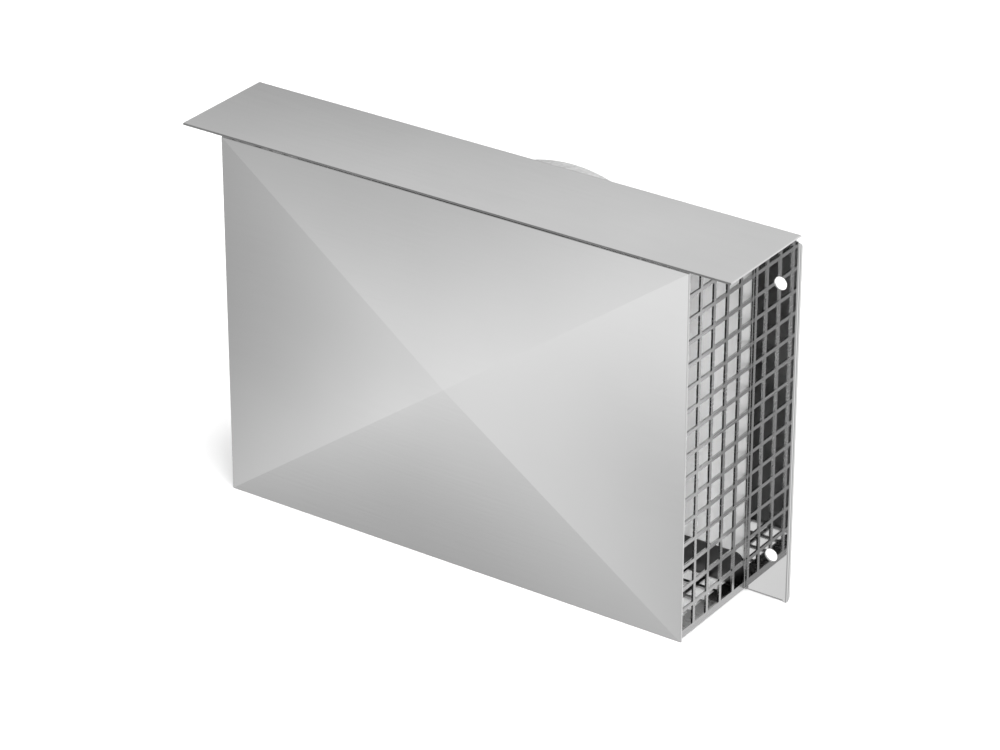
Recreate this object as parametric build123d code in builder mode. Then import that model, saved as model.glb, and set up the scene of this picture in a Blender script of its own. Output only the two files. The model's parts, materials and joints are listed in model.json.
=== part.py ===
"""Exterior ventilation grille: a folded stainless wall hood with a cross-folded front panel, three
perforated sides and a round duct spigot with lip seals.

Millimetres. +Z is up and the front looks along -Y. The origin is on the duct's axis, in the rear
face of the back plate.
"""
import os
from math import floor

from build123d import *

os.makedirs("parts", exist_ok=True)

# Sheet stock, folding and welding
sheet = 1.0
bend_inside = 0.3
weld_gap = 0.2

# Front panel, folded along its diagonals to a shallow point
panel_width = 272.0
panel_height = 197.5
panel_point = 4.3
panel_edge_radius = 0.4

# Box between the back plate and the front panel
box_depth = 61.0

# Back plate, with the hood folded from its top
flange_width = 23.0
lip_depth = 2.5
lip_drop = 2.0
hood_gap = 1.0
hood_lead = 1.0

# Holes for the wall fixings
fixing_diameter = 7.0
fixing_inset_side = 10.0
fixing_inset_end = 24.0

# Perforation and folded edges of the three grilles
hole_side = 10.0
hole_bridge = 2.0
grille_foot_margin = 4.0
grille_edge_margin = 1.0
grille_front_lip = 3.0
grille_rear_lip = 1.2
upstand_height = 18.5
upstand_corner = 5.0
upstand_clearance = 1.0

# Spigot pushed through the back plate
duct_diameter = 160.0
duct_clearance = 0.5
spigot_wall = 0.8
spigot_rear_reach = 46.0
spigot_front_reach = 41.0
spigot_hole_clearance = 0.1
bead_height = 2.2
bead_width = 5.0
bead_slope = 1.2

# Lip seals in grooves near both ends of the spigot
seal_setback = 12.0
seal_width = 10.0
seal_base = 1.6
seal_clearance = 0.1
groove_depth = 1.1
seal_lip_count = 2
seal_lip_height = 4.5
seal_lip_thickness = 2.0
seal_lip_lean = 3.6

# Levels and planes that the pieces share
bend_outside = bend_inside + sheet
hole_pitch = hole_side + hole_bridge
plate_front = -sheet
panel_front = plate_front - box_depth
panel_inside = panel_front + sheet
plate_width = panel_width + 2 * flange_width
plate_edge = plate_width / 2
edge_strip = 2 * bend_outside
lip_rear = plate_front + lip_depth
side_edge_height = panel_height - lip_drop
foot = -side_edge_height / 2
side_edge_top = foot + side_edge_height
panel_top = foot + panel_height
panel_middle = foot + panel_height / 2
hood_under = panel_top + hood_gap
hood_fold = hood_under - bend_inside
hood_front = panel_front - hood_lead
grille_inside = panel_width / 2 - 2 * sheet
grille_front = panel_inside + weld_gap
grille_foot = foot + sheet
grille_height = panel_height - 2 * sheet
spigot_radius = duct_diameter / 2 - duct_clearance


def hole_count(room):
    """How many holes fit in a length, with a bridge between each two."""
    return floor((room + hole_bridge) / hole_pitch)


# Holes across the depth of the box, in line with each other in all three grilles, from fold to fold
depth_room = plate_front - grille_front
depth_holes = hole_count(depth_room)
depth_middle = plate_front - depth_room / 2


def folded_sheet(points, radii):
    """Section of a folded sheet that lies to the right of a line of points along one of its faces."""
    with BuildSketch() as section:
        with BuildLine():
            FilletPolyline(*points, radius=radii)
            offset(amount=sheet, side=Side.RIGHT)
        make_face()
    return section.sketch


def mitre(fold, free_edge):
    """Triangle that trims the end of a lip at 45 degrees, from its fold to its free edge."""
    with BuildSketch() as corner:
        with BuildLine():
            Polyline(fold, (free_edge[0], fold[1]), free_edge, close=True)
        make_face()
    return corner.sketch


# Back plate: foot lip, plate and hood are folded from one sheet, and its sides are turned back
with BuildPart() as back_plate:
    with BuildSketch(Plane.YZ):
        add(folded_sheet(
            [(lip_rear, foot), (plate_front, foot), (plate_front, hood_under), (hood_front, hood_under)],
            [bend_outside, bend_inside],
        ))
    extrude(amount=plate_edge, both=True)
    # The side strips are cleared up to the hood's fold, which leaves its relief notches
    with BuildSketch(Plane.XZ.offset(-lip_rear)):
        with Locations((plate_edge, foot), (-plate_edge, foot)):
            Rectangle(2 * edge_strip, 2 * (hood_fold - foot))
    extrude(amount=lip_depth, mode=Mode.SUBTRACT)
    # Each side strip has a rounded fold and a lip that stands against the wall, mitred at its ends
    with BuildSketch(Plane.XY.offset(foot)):
        add(folded_sheet(
            [(plate_edge, lip_rear), (plate_edge, plate_front), (plate_edge - edge_strip, plate_front)],
            [bend_outside],
        ))
        mirror(about=Plane.YZ)
    extrude(amount=side_edge_height)
    for side in (Plane.YZ.offset(plate_edge - bend_outside), Plane.YZ.offset(-plate_edge)):
        with BuildSketch(side):
            add(mitre((plate_front, foot), (lip_rear, foot + lip_depth)))
            add(mitre((plate_front, side_edge_top), (lip_rear, side_edge_top - lip_depth)))
        extrude(amount=bend_outside, mode=Mode.SUBTRACT)
    # Holes for the spigot and the wall fixings
    with BuildSketch(Plane.XZ):
        Circle(spigot_radius + spigot_hole_clearance)
        with GridLocations(plate_width - 2 * fixing_inset_side, side_edge_height - 2 * fixing_inset_end, 2, 2):
            Circle(fixing_diameter / 2)
    extrude(amount=sheet, mode=Mode.SUBTRACT)
back_plate.part.label = "back_plate"
export_step(back_plate.part, "parts/back_plate.step")


# Front panel: a sheet creased along its diagonals, so that four facets rise to a point
with BuildPart() as front_panel:
    with BuildSketch(Plane.XZ.offset(-panel_inside)):
        with Locations((0, panel_middle)):
            Rectangle(panel_width, panel_height)
    extrude(amount=sheet)
    rim = front_panel.faces().sort_by(Axis.Y)[0]
    loft([rim, Vertex(0, panel_front - panel_point, panel_middle)], ruled=True)
    fillet(front_panel.edges().filter_by_position(Axis.Y, panel_front, panel_front), panel_edge_radius)
    rear = front_panel.faces().sort_by(Axis.Y)[-1]
    loft([rear, Vertex(0, panel_inside - panel_point, panel_middle)], ruled=True, mode=Mode.SUBTRACT)
front_panel.part.label = "front_panel"
export_step(front_panel.part, "parts/front_panel.step")


# Side grilles: a perforated wall with a lip turned in behind the panel and one turned out on the plate
side_rows = hole_count(grille_height - grille_foot_margin - grille_edge_margin)
side_rows_middle = grille_foot + grille_foot_margin + (side_rows * hole_pitch - hole_bridge) / 2

with BuildPart() as right_grille:
    with BuildSketch(Plane.XY.offset(grille_foot)):
        add(folded_sheet(
            [
                (grille_inside - grille_front_lip, grille_front + sheet),
                (grille_inside, grille_front + sheet),
                (grille_inside, plate_front),
                (grille_inside + sheet + grille_rear_lip, plate_front),
            ],
            [bend_inside, bend_outside],
        ))
    extrude(amount=grille_height)
    with BuildSketch(Plane.YZ.offset(grille_inside)):
        with Locations((depth_middle, side_rows_middle)):
            with GridLocations(hole_pitch, hole_pitch, depth_holes, side_rows):
                Rectangle(hole_side, hole_side)
    extrude(amount=sheet, mode=Mode.SUBTRACT)
right_grille.part.label = "right_grille"
export_step(right_grille.part, "parts/right_grille.step")

with BuildPart() as left_grille:
    mirror(right_grille.part, about=Plane.YZ)
left_grille.part.label = "left_grille"
export_step(left_grille.part, "parts/left_grille.step")


# Bottom grille: a perforated floor with an upstand against the back plate
floor_half_width = grille_inside - weld_gap
floor_rows = hole_count(2 * (floor_half_width - grille_foot_margin))

with BuildPart() as bottom_grille:
    with BuildSketch(Plane.YZ):
        add(folded_sheet(
            [
                (plate_front, grille_foot + upstand_height),
                (plate_front, grille_foot),
                (grille_front, grille_foot),
            ],
            [bend_outside],
        ))
    extrude(amount=floor_half_width, both=True)
    with BuildSketch(Plane.XY.offset(grille_foot)):
        with Locations((0, depth_middle)):
            with GridLocations(hole_pitch, hole_pitch, floor_rows, depth_holes):
                Rectangle(hole_side, hole_side)
    extrude(amount=sheet, mode=Mode.SUBTRACT)
    upstand_ends = bottom_grille.edges().filter_by(Axis.Y).group_by(Axis.Z)[-1]
    fillet(upstand_ends, upstand_corner)
    # The floor's front corners are notched round the lips of the side grilles
    with BuildSketch(Plane.XY.offset(grille_foot)):
        with Locations((grille_inside, grille_front), (-grille_inside, grille_front)):
            Rectangle(2 * (grille_front_lip + weld_gap), 2 * (sheet + weld_gap))
    extrude(amount=sheet, mode=Mode.SUBTRACT)
    # The upstand's edge is hollowed where it passes under the spigot
    with BuildSketch(Plane.XZ.offset(-plate_front)):
        Circle(spigot_radius + upstand_clearance)
    extrude(amount=sheet, mode=Mode.SUBTRACT)
bottom_grille.part.label = "bottom_grille"
export_step(bottom_grille.part, "parts/bottom_grille.step")


# Spigot: a rolled tube with a groove for each seal, whose stop bead rests on the rear of the back plate
groove_width = seal_width + 2 * seal_clearance
seal_middle = seal_setback + seal_width / 2


def groove(middle):
    """Corners of a seal's groove in the line of the tube's outer face."""
    near = middle - groove_width / 2
    far = middle + groove_width / 2
    floor_radius = spigot_radius - groove_depth
    return [(spigot_radius, near), (floor_radius, near), (floor_radius, far), (spigot_radius, far)]


with BuildPart() as spigot:
    with BuildSketch(Plane.XY):
        with BuildLine():
            Polyline(
                (spigot_radius, -spigot_front_reach),
                *groove(seal_middle - spigot_front_reach),
                (spigot_radius, 0),
                (spigot_radius + bead_height, bead_slope),
                (spigot_radius + bead_height, bead_width - bead_slope),
                (spigot_radius, bead_width),
                *groove(spigot_rear_reach - seal_middle),
                (spigot_radius, spigot_rear_reach),
            )
            offset(amount=spigot_wall, side=Side.LEFT, kind=Kind.INTERSECTION)
        make_face()
    revolve(axis=Axis.Y)
spigot.part.label = "spigot"
export_step(spigot.part, "parts/spigot.step")


def lip_seal(end, inward):
    """A seal in its groove near an end of the spigot, with lips that lean away from that end."""
    inner = spigot_radius - groove_depth + seal_clearance
    outer = inner + seal_base
    tip = spigot_radius + seal_lip_height
    start = end + inward * seal_setback
    with BuildPart() as seal:
        with BuildSketch(Plane.XY):
            with Locations((inner + seal_base / 2, start + inward * seal_width / 2)):
                Rectangle(seal_base, seal_width)
            for lip in range(seal_lip_count):
                root = start + inward * lip * seal_width / seal_lip_count
                with BuildLine():
                    Polyline(
                        (outer, root),
                        (outer, root + inward * seal_lip_thickness),
                        (tip, root + inward * seal_lip_lean),
                        close=True,
                    )
                make_face()
        revolve(axis=Axis.Y)
    return seal.part


with BuildPart() as rear_seal:
    add(lip_seal(spigot_rear_reach, -1))
rear_seal.part.label = "rear_seal"
export_step(rear_seal.part, "parts/rear_seal.step")

with BuildPart() as front_seal:
    add(lip_seal(-spigot_front_reach, 1))
front_seal.part.label = "front_seal"
export_step(front_seal.part, "parts/front_seal.step")
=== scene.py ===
"""Looks of the exterior ventilation grille: bright stainless sheet, a galvanised spigot and rubber
seals, on a pale studio floor. Metres, in the frame of the CAD part."""
import json
from math import radians

import bpy
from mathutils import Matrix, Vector

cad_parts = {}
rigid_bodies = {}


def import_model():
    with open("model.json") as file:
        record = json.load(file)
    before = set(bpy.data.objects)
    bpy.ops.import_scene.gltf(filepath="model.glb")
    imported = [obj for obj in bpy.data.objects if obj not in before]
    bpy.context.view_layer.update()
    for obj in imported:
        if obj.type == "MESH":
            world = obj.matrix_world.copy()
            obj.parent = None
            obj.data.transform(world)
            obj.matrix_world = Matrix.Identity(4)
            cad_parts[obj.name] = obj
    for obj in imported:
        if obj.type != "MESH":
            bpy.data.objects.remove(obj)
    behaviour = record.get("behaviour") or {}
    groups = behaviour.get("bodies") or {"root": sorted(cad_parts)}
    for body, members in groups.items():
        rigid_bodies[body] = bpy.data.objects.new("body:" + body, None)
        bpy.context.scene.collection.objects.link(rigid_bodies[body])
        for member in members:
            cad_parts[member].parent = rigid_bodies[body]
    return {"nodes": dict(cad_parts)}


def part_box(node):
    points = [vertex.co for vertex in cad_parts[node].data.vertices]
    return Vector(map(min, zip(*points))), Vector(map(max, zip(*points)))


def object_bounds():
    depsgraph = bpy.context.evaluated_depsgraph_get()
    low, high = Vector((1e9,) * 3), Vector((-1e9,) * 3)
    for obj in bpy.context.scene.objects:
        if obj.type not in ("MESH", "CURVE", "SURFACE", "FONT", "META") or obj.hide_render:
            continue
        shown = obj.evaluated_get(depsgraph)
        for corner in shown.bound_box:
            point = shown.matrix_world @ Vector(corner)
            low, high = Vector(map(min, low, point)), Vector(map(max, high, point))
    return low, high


for leftover in list(bpy.data.objects):
    bpy.data.objects.remove(leftover)
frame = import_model()
cad_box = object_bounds()
nodes = frame["nodes"]
scene = bpy.context.scene
foot = cad_box[0].z

# Sheet of the plate, the panel and the grilles, and how far a finish reaches past a face of it
sheet = 0.001
margin = 0.1 * sheet

# Stretch of the grain in sheet that was rolled along X or along Y
rolled_along_x = (0.4, 6.0, 12.0)
rolled_along_y = (6.0, 0.4, 12.0)


def new_material(name):
    """An empty node material with its output."""
    material = bpy.data.materials.new(name)
    material.use_nodes = True
    tree = material.node_tree
    tree.nodes.clear()
    output = tree.nodes.new("ShaderNodeOutputMaterial")
    return material, tree, output


def calculate(tree, operation, first, second=0.0):
    """One step of arithmetic on sockets or numbers."""
    node = tree.nodes.new("ShaderNodeMath")
    node.operation = operation
    for socket, value in zip(node.inputs, (first, second)):
        if isinstance(value, (int, float)):
            socket.default_value = value
        else:
            tree.links.new(value, socket)
    return node.outputs["Value"]


def length(tree, vector):
    """How long a vector is."""
    node = tree.nodes.new("ShaderNodeVectorMath")
    node.operation = "LENGTH"
    tree.links.new(vector, node.inputs[0])
    return node.outputs["Value"]


def axes_of(tree, vector):
    """A vector's X, Y and Z."""
    split = tree.nodes.new("ShaderNodeSeparateXYZ")
    tree.links.new(vector, split.inputs["Vector"])
    return split.outputs


def object_coordinates(tree):
    """Places on a piece, in the part's frame."""
    return tree.nodes.new("ShaderNodeTexCoord").outputs["Object"]


def noise(tree, coordinates, scale, stretch=(1, 1, 1), detail=4.0):
    """Noise on Object coordinates, stretched along the axes."""
    mapping = tree.nodes.new("ShaderNodeMapping")
    mapping.inputs["Scale"].default_value = stretch
    tree.links.new(coordinates, mapping.inputs["Vector"])
    texture = tree.nodes.new("ShaderNodeTexNoise")
    texture.inputs["Scale"].default_value = scale
    texture.inputs["Detail"].default_value = detail
    tree.links.new(mapping.outputs["Vector"], texture.inputs["Vector"])
    return texture.outputs["Fac"]


def spread(tree, value, low, high, start=0.3, end=0.7):
    """Maps a value to a range."""
    node = tree.nodes.new("ShaderNodeMapRange")
    node.inputs["From Min"].default_value = start
    node.inputs["From Max"].default_value = end
    node.inputs["To Min"].default_value = low
    node.inputs["To Max"].default_value = high
    tree.links.new(value, node.inputs["Value"])
    return node.outputs["Result"]


def greys(tree, value, dark, light, start=0.3, end=0.7):
    """A ramp between two greys."""
    ramp = tree.nodes.new("ShaderNodeValToRGB")
    ramp.color_ramp.elements[0].position = start
    ramp.color_ramp.elements[0].color = (dark, dark, dark, 1)
    ramp.color_ramp.elements[1].position = end
    ramp.color_ramp.elements[1].color = (light, light, light, 1)
    tree.links.new(value, ramp.inputs["Fac"])
    return ramp.outputs["Color"]


def dull_steel_and_painted_shade(tree, coordinates, dark, light, rough):
    """Dull, cloudy steel, for a cut edge, and as painted shade on inner sides."""
    shader = tree.nodes.new("ShaderNodeBsdfPrincipled")
    shader.inputs["Metallic"].default_value = 1.0
    clouds = noise(tree, coordinates, scale=30.0)
    tree.links.new(greys(tree, clouds, dark, light), shader.inputs["Base Color"])
    tree.links.new(spread(tree, clouds, rough, rough + 0.1), shader.inputs["Roughness"])
    return shader.outputs["BSDF"]


def part_finish(material, mask, second):
    """Gives the masked part of a material a second finish."""
    tree = material.node_tree
    output = next(n for n in tree.nodes if n.type == "OUTPUT_MATERIAL")
    first = output.inputs["Surface"].links[0].from_socket
    blend = tree.nodes.new("ShaderNodeMixShader")
    tree.links.new(mask, blend.inputs["Fac"])
    tree.links.new(first, blend.inputs[1])
    tree.links.new(second, blend.inputs[2])
    tree.links.new(blend.outputs["Shader"], output.inputs["Surface"])


def stainless(name, grain, dark, light, smooth, rough):
    """Rolled stainless: fine grain along the rolling direction, in a faintly cloudy grey."""
    material, tree, output = new_material(name)
    coordinates = object_coordinates(tree)
    shader = tree.nodes.new("ShaderNodeBsdfPrincipled")
    shader.inputs["Metallic"].default_value = 1.0
    lines = noise(tree, coordinates, scale=60.0, stretch=grain, detail=6.0)
    clouds = noise(tree, coordinates, scale=9.0)
    tree.links.new(greys(tree, clouds, dark, light), shader.inputs["Base Color"])
    tree.links.new(spread(tree, lines, smooth, rough), shader.inputs["Roughness"])
    bump = tree.nodes.new("ShaderNodeBump")
    bump.inputs["Strength"].default_value = 0.02
    bump.inputs["Distance"].default_value = 0.0001
    tree.links.new(lines, bump.inputs["Height"])
    tree.links.new(bump.outputs["Normal"], shader.inputs["Normal"])
    tree.links.new(shader.outputs["BSDF"], output.inputs["Surface"])
    return material


def plate_stainless(name, box_half_width, box_top, plate_middle, hood_edge):
    """Bright stainless, pale and matt on the face inside the box, with painted shade along each side
    grille there, and a dull cut edge on the hood.
    """
    material = stainless(name, rolled_along_x, dark=0.70, light=0.76, smooth=0.035, rough=0.06)
    tree = material.node_tree
    coordinates = object_coordinates(tree)
    axis = axes_of(tree, coordinates)
    off_centre = calculate(tree, "ABSOLUTE", axis["X"])
    between_sides = calculate(tree, "LESS_THAN", off_centre, box_half_width)
    below_top = calculate(tree, "LESS_THAN", axis["Z"], box_top)
    front_face = calculate(tree, "LESS_THAN", axis["Y"], plate_middle)
    inside = calculate(tree, "MULTIPLY", calculate(tree, "MULTIPLY", between_sides, below_top), front_face)
    # Painted shade: a darker band along each side grille evens out the light that comes in through the
    # holes
    strip_start = box_half_width - 0.020
    strip_end = box_half_width - 0.004
    painted_shade_band = spread(tree, off_centre, low=0.0, high=-0.28, start=strip_start, end=strip_end)
    clouds = noise(tree, coordinates, scale=30.0)
    pale = calculate(tree, "ADD", spread(tree, clouds, low=0.88, high=0.94), painted_shade_band)
    matt = tree.nodes.new("ShaderNodeBsdfPrincipled")
    tree.links.new(greys(tree, pale, dark=0.0, light=1.0, start=0.0, end=1.0), matt.inputs["Base Color"])
    tree.links.new(spread(tree, clouds, low=0.45, high=0.55), matt.inputs["Roughness"])
    part_finish(material, inside, matt.outputs["BSDF"])
    cut_edge = calculate(tree, "LESS_THAN", axis["Y"], hood_edge)
    part_finish(material, cut_edge, dull_steel_and_painted_shade(tree, coordinates, dark=0.30, light=0.44, rough=0.35))
    return material


def panel_stainless(name):
    """Bright stainless, its inner side painted near-black as the shade inside the box."""
    material = stainless(name, rolled_along_x, dark=0.71, light=0.75, smooth=0.06, rough=0.075)
    tree = material.node_tree
    facing = axes_of(tree, tree.nodes.new("ShaderNodeNewGeometry").outputs["True Normal"])
    painted_shade_inner_side = calculate(tree, "GREATER_THAN", facing["Y"], 0.5)
    # Painted shade: the inner side is near-black steel, standing for the shade inside the box
    dull = dull_steel_and_painted_shade(tree, object_coordinates(tree), dark=0.08, light=0.26, rough=0.3)
    part_finish(material, painted_shade_inner_side, dull)
    return material


def floor_stainless_painted_shade(name, upstand_front):
    """The bottom grille's dull sheet, darkened further as painted shade inside the box, darkest on its
    upstand.
    """
    material = stainless(name, rolled_along_x, dark=0.34, light=0.42, smooth=0.20, rough=0.30)
    tree = material.node_tree
    coordinates = object_coordinates(tree)
    upstand = calculate(tree, "GREATER_THAN", axes_of(tree, coordinates)["Y"], upstand_front)
    # Painted shade: the upstand is near-black, standing for the shade at the back of the box
    part_finish(material, upstand, dull_steel_and_painted_shade(tree, coordinates, dark=0.07, light=0.11, rough=0.25))
    return material


def galvanised(name):
    """Dull zinc with a spangle of crystals."""
    material, tree, output = new_material(name)
    shader = tree.nodes.new("ShaderNodeBsdfPrincipled")
    shader.inputs["Metallic"].default_value = 0.4
    crystals = tree.nodes.new("ShaderNodeTexVoronoi")
    crystals.inputs["Scale"].default_value = 600.0
    tree.links.new(object_coordinates(tree), crystals.inputs["Vector"])
    spangle = greys(tree, crystals.outputs["Color"], dark=0.42, light=0.60, start=0.0, end=1.0)
    tree.links.new(spangle, shader.inputs["Base Color"])
    tree.links.new(
        spread(tree, crystals.outputs["Distance"], low=0.32, high=0.45), shader.inputs["Roughness"],
    )
    tree.links.new(shader.outputs["BSDF"], output.inputs["Surface"])
    return material


def rubber(name):
    """Matt black rubber with a faint bloom."""
    material, tree, output = new_material(name)
    shader = tree.nodes.new("ShaderNodeBsdfPrincipled")
    clouds = noise(tree, object_coordinates(tree), scale=40.0)
    bloom = greys(tree, clouds, dark=0.008, light=0.022, start=0.0, end=1.0)
    tree.links.new(bloom, shader.inputs["Base Color"])
    tree.links.new(spread(tree, clouds, low=0.5, high=0.65), shader.inputs["Roughness"])
    tree.links.new(shader.outputs["BSDF"], output.inputs["Surface"])
    return material


def pale_floor(name):
    """Matt white that the camera sees as plain white, and more so further out, under a soft shadow."""
    material, tree, output = new_material(name)
    matt = tree.nodes.new("ShaderNodeBsdfDiffuse")
    matt.inputs["Color"].default_value = (0.86, 0.86, 0.86, 1)
    distance = length(tree, object_coordinates(tree))
    glow = spread(tree, distance, low=0.14, high=1.0, start=0.5, end=1.8)
    seen = tree.nodes.new("ShaderNodeLightPath").outputs["Is Camera Ray"]
    camera_glow = tree.nodes.new("ShaderNodeEmission")
    tree.links.new(calculate(tree, "MULTIPLY", seen, glow), camera_glow.inputs["Strength"])
    both = tree.nodes.new("ShaderNodeAddShader")
    tree.links.new(matt.outputs["BSDF"], both.inputs[0])
    tree.links.new(camera_glow.outputs["Emission"], both.inputs[1])
    tree.links.new(both.outputs["Shader"], output.inputs["Surface"])
    return material


# Finishes of the pieces, with the levels and planes at which they change
box_half_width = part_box("front_panel")[1].x - sheet
box_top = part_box("front_panel")[1].z
plate_middle = -0.5 * sheet
upstand_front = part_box("bottom_grille")[1].y - sheet - margin
hood_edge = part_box("back_plate")[0].y + margin
plate_steel = plate_stainless("plate_steel", box_half_width, box_top, plate_middle, hood_edge)
panel_steel = panel_stainless("panel_steel")
grille_steel = stainless("grille_steel", rolled_along_y, dark=0.45, light=0.53, smooth=0.20, rough=0.30)
floor_steel_painted_shade = floor_stainless_painted_shade("floor_steel_painted_shade", upstand_front)
spigot_zinc = galvanised("spigot_zinc")
seal_rubber = rubber("seal_rubber_black")

finishes = {
    "back_plate": plate_steel,
    "front_panel": panel_steel,
    "left_grille": grille_steel,
    "right_grille": grille_steel,
    "bottom_grille": floor_steel_painted_shade,
    "spigot": spigot_zinc,
    "rear_seal": seal_rubber,
    "front_seal": seal_rubber,
}
for node_name, finish in finishes.items():
    nodes[node_name].material_slots[0].material = finish

# Floor, which the metal doesn't mirror
floor_half = 4.0
floor_mesh = bpy.data.meshes.new("studio_floor")
floor_mesh.from_pydata(
    [(x * floor_half, y * floor_half, foot) for x, y in ((-1, -1), (1, -1), (1, 1), (-1, 1))],
    [],
    [(0, 1, 2, 3)],
)
floor_mesh.materials.append(pale_floor("studio_floor"))
floor = bpy.data.objects.new("studio_floor", floor_mesh)
floor.visible_glossy = False
scene.collection.objects.link(floor)

# World: a grey studio with soft pools of light, which the metal mirrors, behind a plain white backdrop
world = bpy.data.worlds.new("studio")
world.use_nodes = True
world_tree = world.node_tree
studio_grey = 0.42


def light_pool(aim, reach, level, falloff, turn=(0, 0, 0)):
    """Brightness of a soft pool of light round a direction. Aim and reach are measured on a sphere of
    radius 1, the reach along axes that are turned by some degrees."""
    mapping = world_tree.nodes.new("ShaderNodeMapping")
    mapping.vector_type = "TEXTURE"
    mapping.inputs["Location"].default_value = aim
    mapping.inputs["Rotation"].default_value = [radians(angle) for angle in turn]
    mapping.inputs["Scale"].default_value = reach
    direction = world_tree.nodes.new("ShaderNodeTexCoord").outputs["Generated"]
    world_tree.links.new(direction, mapping.inputs["Vector"])
    distance = length(world_tree, mapping.outputs["Vector"])
    fall = calculate(world_tree, "POWER", distance, falloff)
    return calculate(world_tree, "DIVIDE", level, calculate(world_tree, "ADD", fall, 1.0))


front_panel_pools = [
    light_pool((-0.50, -0.725, -0.475), (0.145, 0.5, 0.075), level=0.44, falloff=8.0, turn=(43, 47, 0)),
    light_pool((-0.56, -0.665, -0.505), (0.05, 0.5, 0.04), level=0.32, falloff=6.5, turn=(35, 36, -12)),
    light_pool((-0.36, -0.845, -0.44), (0.07, 0.5, 0.18), level=0.58, falloff=8.0, turn=(52, -54, -81)),
]
hood_pools = [
    light_pool((-0.725, 0.59, 0.445), (0.5, 0.5, 0.04), level=0.37, falloff=6.0, turn=(25, 1, 35)),
]
# One for the faces on the right and one for their folds
right_side_pools = [
    light_pool((0.5, 0.73, -0.46), (0.35, 0.35, 0.35), level=0.55, falloff=4.0),
    light_pool((0.73, -0.5, -0.46), (0.30, 0.30, 0.30), level=0.60, falloff=4.0),
]
# For a look from straight in front, from behind and from above
other_view_pools = [
    light_pool((0.08, -1.0, 0.10), (0.15, 0.5, 0.15), level=0.42, falloff=4.0),
    light_pool((-0.2, 1.0, 0.10), (0.30, 0.5, 0.25), level=0.30, falloff=8.0),
    light_pool((0.2, 0, 1.0), (0.45, 0.45, 0.5), level=0.36, falloff=6.0),
]
studio_level = studio_grey
for pool in front_panel_pools + hood_pools + right_side_pools + other_view_pools:
    studio_level = calculate(world_tree, "ADD", pool, studio_level)
world_path = world_tree.nodes.new("ShaderNodeLightPath").outputs
backdrop = calculate(
    world_tree, "MAXIMUM", world_path["Is Camera Ray"], world_path["Is Transmission Ray"],
)
background = world_tree.nodes["Background"]
background.inputs["Color"].default_value = (1, 1, 1, 1)
brightness = calculate(world_tree, "MAXIMUM", studio_level, backdrop)
world_tree.links.new(brightness, background.inputs["Strength"])
scene.world = world


def softbox(name, place, aim, size, power):
    """A square area lamp that faces a point and doesn't show in the metal."""
    lamp = bpy.data.lights.new(name, "AREA")
    lamp.size = size
    lamp.energy = power
    lamp_object = bpy.data.objects.new(name, lamp)
    lamp_object.location = place
    lamp_object.rotation_euler = (Vector(aim) - Vector(place)).to_track_quat("-Z", "Y").to_euler()
    lamp_object.visible_glossy = False
    scene.collection.objects.link(lamp_object)


softbox("top_softbox", place=(0.2, -0.2, 1.7), aim=(0, 0, 0), size=1.8, power=34)
softbox("side_softbox", place=(1.25, -0.85, 0.45), aim=(0.1, 0, 0), size=1.6, power=44)

# Camera: it looks down, from the right of the front, by these degrees
camera_tilt = 27.404
camera_turn = 34.502
camera = bpy.data.cameras.new("camera")
camera.lens = 148.48
camera.sensor_width = 36.0
camera_object = bpy.data.objects.new("camera", camera)
camera_object.location = (1.0286, -1.5141, 0.9300)
camera_object.rotation_euler = (radians(90 - camera_tilt), 0, radians(camera_turn))
scene.collection.objects.link(camera_object)
scene.camera = camera_object

scene.view_settings.view_transform = "Standard"
